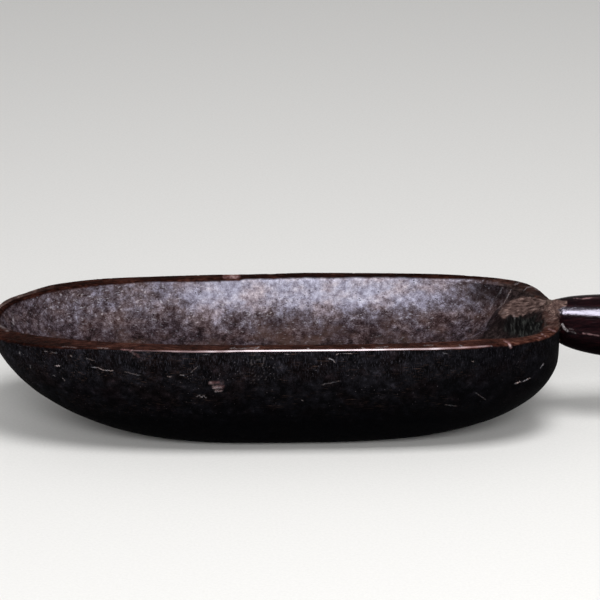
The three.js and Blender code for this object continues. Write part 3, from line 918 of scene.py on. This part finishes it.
def outer_colour(f):
    """The sooty outside, darker towards its foot and the handle, its upright tool marks and pale specks
    painted in as glints.
    """
    x, _, z = f.add("ShaderNodeSeparateXYZ", [("Vector", f.place)]).outputs
    uprights = f.times(f.level(f.noise(0.7, (1, 1, 5), 2.0), 0.54, 0.68, 0.0, 0.6), f.level(z, 0.052, 0.078))
    fibres = f.level(f.noise(0.6, (13, 1, 1), 2.0), 0.6, 0.7, 0.0, 0.5)
    # Sparse pale specks: painted glints of light
    glint_specks = f.times(f.level(f.cells(3.2), 0.14, 0.07), f.level(f.noise(22), 0.48, 0.58))
    colour = f.layered(
        f.ramp(f.noise(5, (1.4, 1, 1.3), 9.0, 0.68), (0.3, 3, 3, 4), (0.46, 9, 8, 10), (0.6, 22, 21, 25),
               (0.74, 50, 48, 55)),
        (f.level(f.noise(18), 0.48, 0.6), (255, 226, 216), "MULTIPLY"),
        (uprights, (52, 51, 58)),
        (f.times(fibres, f.level(f.noise(14, (2, 1, 1)), 0.46, 0.58)), (74, 58, 52)),
        (f.times(glint_specks, 0.22), (150, 140, 146)),
        (f.level(z, 0.026, 0.066, 0.95, 0.0), (1, 1, 2)),
        (f.level(x, 0.07, 0.16, 0.0, 0.6), (3, 3, 4)))
    return colour, uprights


def dish_finish():
    f = Finish("old_carved_wood", IOR=1.15, Specular_IOR_Level=0.06)
    inside, rim, wear, gleam, band, deep_shade = f.masks("inside", "rim", "wear", "gleam", "band", "deep_shade")
    shade, scar, chip_and_highlight, offset, line, fan, reach = f.masks(
        "shade", "scar", "chip_and_highlight", "offset", "line", "fan", "reach")
    mottle = f.noise(5, detail=9.0, rough=0.7)
    grit = f.noise(0.7, (1.4, 1, 1), detail=3.0, rough=0.7)
    pits = f.times(f.level(f.cells(2.6), 0.26, 0.1), f.level(f.noise(9), 0.46, 0.58))
    soot, uprights = outer_colour(f)
    run = f.noise(1.7, (3, 1.2, 1), 7.0, 0.7)
    worn = f.sum(f.times(wear, 0.62), f.level(run, 0.28, 0.72, -0.25, 0.42))
    fanned = f.add("ShaderNodeCombineXYZ", [(0, fan), (1, reach)]).outputs[0]
    strands = f.add("ShaderNodeTexNoise", [
        ("Vector", fanned), ("Scale", 0.8), ("Detail", 4.0), ("Roughness", 0.65)]).outputs["Fac"]
    fibres = f.blend(0.3, strands, f.noise(3.4, (2.6, 1.4, 1), 4.0, 0.6))
    wander = f.sum(offset, f.level(f.noise(1.5, detail=2.0), 0.3, 0.7, -0.5, 0.5))
    thin = f.level(f.add("ShaderNodeMath", [(0, wander)], operation="ABSOLUTE").outputs[0], 0.75, 0.2)
    line = f.times(f.times(thin, line), f.level(f.noise(0.8, detail=1.0), 0.4, 0.55, 0.15, 0.6))
    colour = f.layered(
        soot,
        (inside, inner_colour(f, mottle, grit, pits)),
        (rim, f.ramp(worn, (0.0, 12, 4, 3), (0.25, 32, 14, 10), (0.5, 58, 32, 26),
                     (0.75, 92, 61, 51), (1.0, 150, 114, 100))),
        # Painted highlight along the near rim's outer edge
        (f.level(gleam, 0.1, 0.7), f.ramp(gleam, (0.1, 196, 146, 146), (0.5, 246, 232, 238))),
        (band, f.ramp(fibres, (0.36, 34, 24, 22), (0.46, 70, 55, 52), (0.54, 98, 80, 76),
                      (0.64, 150, 128, 121))),
        # Painted shade on the scoop's deep end wall, streaked with its grain
        (deep_shade, f.ramp(f.noise(1.3, (1, 9, 9), 3.0, 0.6), (0.38, 9, 9, 9), (0.52, 24, 24, 24),
                      (0.66, 62, 63, 61))),
        # Painted shade by the crease and in the far corners
        (f.times(shade, 0.75), (12, 8, 9)),
        (scar, f.ramp(fibres, (0.38, 88, 56, 56), (0.5, 146, 110, 112), (0.62, 220, 192, 192))),
        # Chips, and painted highlights on the plain end's inner wall
        (chip_and_highlight, f.ramp(fibres, (0.38, 150, 136, 138), (0.6, 222, 212, 216))),
        (line, f.ramp(f.noise(4), (0.42, 216, 194, 190), (0.58, 208, 206, 214))))
    roughness = f.blend(rim, f.blend(inside, 0.6, 0.72), 0.45)
    roughness = f.sum(roughness, f.level(grit, 0.3, 0.7, -0.08, 0.1))
    height = f.total((mottle, 0.6), (grit, 0.35), (pits, -0.5), (f.times(fibres, band), 0.6), (line, -0.5),
                     (f.times(run, rim), 0.5), (uprights, -0.25))
    return f.finish(colour, roughness, height, 0.45)


def handle_finish():
    f = Finish("polished_dark_wood", Specular_Tint=linear(240, 234, 255))
    worn, sheen, butt, polish, low, chip_and_highlight = f.masks("worn", "sheen", "butt", "polish", "low", "chip_and_highlight")
    chip_and_highlight = f.times(chip_and_highlight, f.level(f.noise(0.9, detail=3.0), 0.42, 0.56, 0.2, 1.0))
    grain = f.noise(1.6, (14, 1, 1), 5.0, 0.6)
    pores = f.level(f.noise(0.55, (16, 1, 1), 1.0), 0.62, 0.72, 0.0, 0.7)
    scuffs = f.level(f.noise(0.7, (9, 1.5, 1.5), 2.0), 0.66, 0.76, 0.0, 0.25)
    bruises = f.times(butt, f.level(f.noise(5, detail=6.0), 0.4, 0.65, 0.1, 0.75))
    fibres = f.blend(0.4, f.noise(0.9, (6, 1.2, 1), 5.0, 0.7), f.noise(3.0, (4, 1.2, 1), 4.0, 0.6))
    colour = f.layered(
        f.ramp(grain, (0.3, 9, 3, 5), (0.5, 18, 7, 9), (0.7, 36, 14, 17), (0.85, 56, 26, 28)),
        (pores, (6, 3, 4)),
        (scuffs, (90, 62, 62)),
        # Painted shade on the handle's underside
        (f.times(low, 0.75), (2, 1, 2)),
        # Painted sheen along the handle's arrises
        (sheen, (170, 134, 136)),
        (bruises, (70, 42, 38)),
        (worn, f.ramp(fibres, (0.36, 30, 20, 19), (0.46, 68, 52, 49), (0.54, 98, 79, 74),
                      (0.64, 160, 134, 125))),
        (chip_and_highlight, f.ramp(fibres, (0.36, 96, 88, 88), (0.5, 176, 168, 170), (0.62, 232, 226, 228))))
    matt = f.level(f.sum(worn, chip_and_highlight), 0.0, 1.0)
    roughness = f.sum(f.level(f.noise(5, (4, 1, 1), 4.0), 0.3, 0.7, 0.1, 0.2), f.times(scuffs, 0.5))
    roughness = f.blend(matt, f.sum(roughness, f.times(butt, 0.25)), 0.8)
    for socket, lowest, plain, polished, rough in (("Specular IOR Level", 0.03, 0.16, 0.85, 0.08),
                                                   ("IOR", 1.08, 1.25, 1.5, 1.25)):
        shine = f.blend(matt, f.blend(polish, f.blend(low, plain, lowest), polished), rough)
        f.tree.links.new(shine, f.surface.inputs[socket])
    height = f.total((f.noise(9, (5, 1, 1), 3.0), 0.5), (pores, -0.12), (f.times(fibres, matt), 1.6))
    return f.finish(colour, roughness, height, 0.3)


def peg_finish():
    f = Finish("worn_end_grain", Specular_IOR_Level=0.1)
    rays = f.noise(0.5, (1, 1, 6), 4.0, 0.6)
    colour = f.ramp(rays, (0.3, 38, 29, 27), (0.5, 78, 63, 58), (0.75, 118, 100, 93))
    checks = f.level(f.cells(1.1), 0.16, 0.05)
    colour = f.mix(f.times(checks, 0.8), colour, (32, 22, 20))
    return f.finish(colour, f.level(rays, 0.3, 0.7, 0.6, 0.85), f.sum(rays, f.times(checks, -1.0)), 0.25)


def keep_piece(piece, node, material):
    """Smooths a piece, gives it its material, hides the solid that it stands for and hangs it on the root
    body.
    """
    mesh = piece.data
    mesh.polygons.foreach_set("use_smooth", np.ones(len(mesh.polygons), bool))
    mesh.set_sharp_from_angle(angle=SHARP_ANGLE)
    mesh.update()
    mesh.materials.clear()
    mesh.materials.append(material)
    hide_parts(node)
    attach(piece, "root")


PEG_X, TENON_Z = TIP - END_WALL / 2, TIP_HEIGHT - TENON_SINK
PEG_FOOT = (PEG_X, PEG_SIDE, TIP_HEIGHT - PEG_DEPTH)
PEG_HEAD = (PEG_X, PEG_SIDE, TIP_HEIGHT + LAP_TOP_RISE + PEG_PROUD)


def peg_hole():
    """The peg's hole, which ends blind below and is open above the lap."""
    foot, top = (PEG_X, PEG_SIDE, PEG_FOOT[2] - BORE_GAP), (PEG_X, PEG_SIDE, PEG_HEAD[2] + 12)
    return dowel_mesh("hole", foot, top, PEG_DIAMETER + 2 * BORE_GAP)


def tenon_dowel(name, gap=0.0):
    """The tenon, or with a gap round it and at its blind end the mortise."""
    start, end = (TIP - TENON_DEPTH - gap, 0, TENON_Z), (TIP + TENON_ROOT, 0, TENON_Z)
    return dowel_mesh(name, start, end, TENON_DIAMETER + 2 * gap)


def wall_block():
    """The dish's outer form without its hollow, to cut the handle's shoulder to."""
    under_wall, rim_edge = outer_rows(SHOULDER_GAP)
    rim = rim_edge[-1]
    shelf = place_ring(rim[:, :2] * 0.86, rim_height(rim[:, 0]) + SHOULDER_GAP)
    lid = place_ring(spine_ring(TIP * SPINE_SHARE), RIM_HEIGHT + SHOULDER_GAP)
    return grid_mesh("block", np.array(under_wall + rim_edge + [shelf, lid]))


def peg_rings():
    """Rings of the peg, with a chamfered foot and a worn round head."""
    length, radius = PEG_HEAD[2] - PEG_FOOT[2], PEG_DIAMETER / 2
    turn = turns(DOWEL_SIDES)
    circle = np.column_stack([np.cos(turn), np.sin(turn), np.zeros(DOWEL_SIDES)])
    profile = [(0.0, radius - PEG_CHAMFER), (0.5, radius)]
    profile += [(rise, radius) for rise in np.linspace(1, length - 1.45, 24)]
    profile += [(length - PEG_HEAD_ROUND * (1 - math.cos(a)), radius * math.sin(a))
                for a in np.linspace(1.35, 0.12, 10)]
    rings = []
    for rise, reach in profile:
        ring = np.array(PEG_FOOT) + circle * reach + (0, 0, rise)
        worn = smooth(length - 2.65, length - 0.65, np.full(DOWEL_SIDES, rise))
        ring[:, 2] -= worn * 0.25 * (1 + noise(ring, 1.6, 71))
        rings.append(ring)
    return rings


# The dish
rows, kinds, above = dish_rows()
depth, masks = weather_dish(rows, kinds, above)
worn_rows = rows - grid_normals(rows) * depth.reshape(rows.shape[:2] + (1,))
worn_rows[..., 2] += far_rim_wave(rows, kinds)
worn_rows[[0, -1]] = (worn_rows[[0, -1]] + worn_rows[[0, -1]][:, MIRRORED]) / 2
dish = add_object(grid_mesh("dish_carved", worn_rows))
combine(dish, tenon_dowel("mortise", BORE_GAP), "DIFFERENCE")
combine(dish, peg_hole(), "DIFFERENCE")
tree = KDTree(rows.size // 3)
for index, point in enumerate(worn_rows.reshape(-1, 3).tolist()):
    tree.insert(point, index)
tree.balance()
nearest = [tree.find(point)[1] for point in places_of(dish.data).tolist()]
write_masks(dish.data, {name: values[nearest] for name, values in masks.items()})
keep_piece(dish, "dish", dish_finish())

# The handle, cut to the end wall, with its tenon and the peg's hole
handle = add_object(tube_mesh("handle_carved", handle_rings()))
combine(handle, wall_block(), "DIFFERENCE")
combine(handle, tenon_dowel("tenon"), "UNION")
combine(handle, peg_hole(), "DIFFERENCE")
write_masks(handle.data, handle_masks(places_of(handle.data)))
keep_piece(handle, "handle", handle_finish())

# The peg
peg = add_object(tube_mesh("peg_carved", peg_rings()))
keep_piece(peg, "locking_peg", peg_finish())

# Floor and background
FLOOR_SIZE = 3.0
FLOOR_Z = -0.0002
floor_mesh = bpy.data.meshes.new("floor")
corners = [(a * FLOOR_SIZE, b * FLOOR_SIZE, FLOOR_Z) for a, b in ((-1, -1), (1, -1), (1, 1), (-1, 1))]
floor_mesh.from_pydata(corners, [], [(0, 1, 2, 3)])
floor = add_object(floor_mesh)
paper = Finish("floor_paper", Specular_IOR_Level=0.2)
weave = paper.noise(2.0, detail=6.0)
floor_mesh.materials.append(paper.finish(
    paper.ramp(weave, (0.3, 226, 225, 223), (0.7, 232, 231, 229)),
    paper.level(weave, 0.3, 0.7, 0.85, 0.95), weave, 0.05))

world = bpy.data.worlds.new("studio")
bpy.context.scene.world = world
world.use_nodes = True
sky = world.node_tree.nodes["Background"]
sky.inputs["Color"].default_value = (1, 1, 1, 1)
sky.inputs["Strength"].default_value = 0.36


def softbox(name, place, target, size_x, size_y, power, mirrored=True, lighting=True):
    """A rectangular lamp, which can be left out of reflections or serve for them alone."""
    lamp = bpy.data.lights.new(name, "AREA")
    lamp.shape = "RECTANGLE"
    lamp.size, lamp.size_y = size_x, size_y
    lamp.energy = power
    holder = add_object(lamp)
    holder.visible_glossy, holder.visible_diffuse = mirrored, lighting
    holder.location = place
    direction = Vector(target) - Vector(place)
    holder.rotation_euler = direction.to_track_quat("-Z", "Y").to_euler()


softbox("key", (0.3, -0.89, 1.98), (0.1, 0, 0.07), 0.78, 0.85, 31)
softbox("fill", (0.1, -3.6, 1.9), (0, 0.3, 0.05), 1.8, 1.4, 76, mirrored=False)
softbox("glint", (-0.45, -0.89, 1.98), (0.2, 0, 0.07), 0.6, 0.8, 22, lighting=False)

camera_data = bpy.data.cameras.new("camera")
camera = add_object(camera_data)
back = Vector((
    math.sin(CAMERA_TURN) * math.cos(CAMERA_ELEVATION),
    -math.cos(CAMERA_TURN) * math.cos(CAMERA_ELEVATION),
    math.sin(CAMERA_ELEVATION),
))
camera.location = Vector((0, 0, RIM_HEIGHT * MM)) + back * CAMERA_DISTANCE
camera.rotation_euler = back.to_track_quat("Z", "Y").to_euler()
camera_data.sensor_width = 36
camera_data.lens = FOCAL_PIXELS / FRAME * camera_data.sensor_width
camera_data.shift_x = (FRAME / 2 - TARGET_PIXEL[0]) / FRAME
camera_data.shift_y = (TARGET_PIXEL[1] - FRAME / 2) / FRAME
camera_data.clip_end = 20
bpy.context.scene.camera = camera
bpy.context.scene.view_settings.view_transform = "Standard"
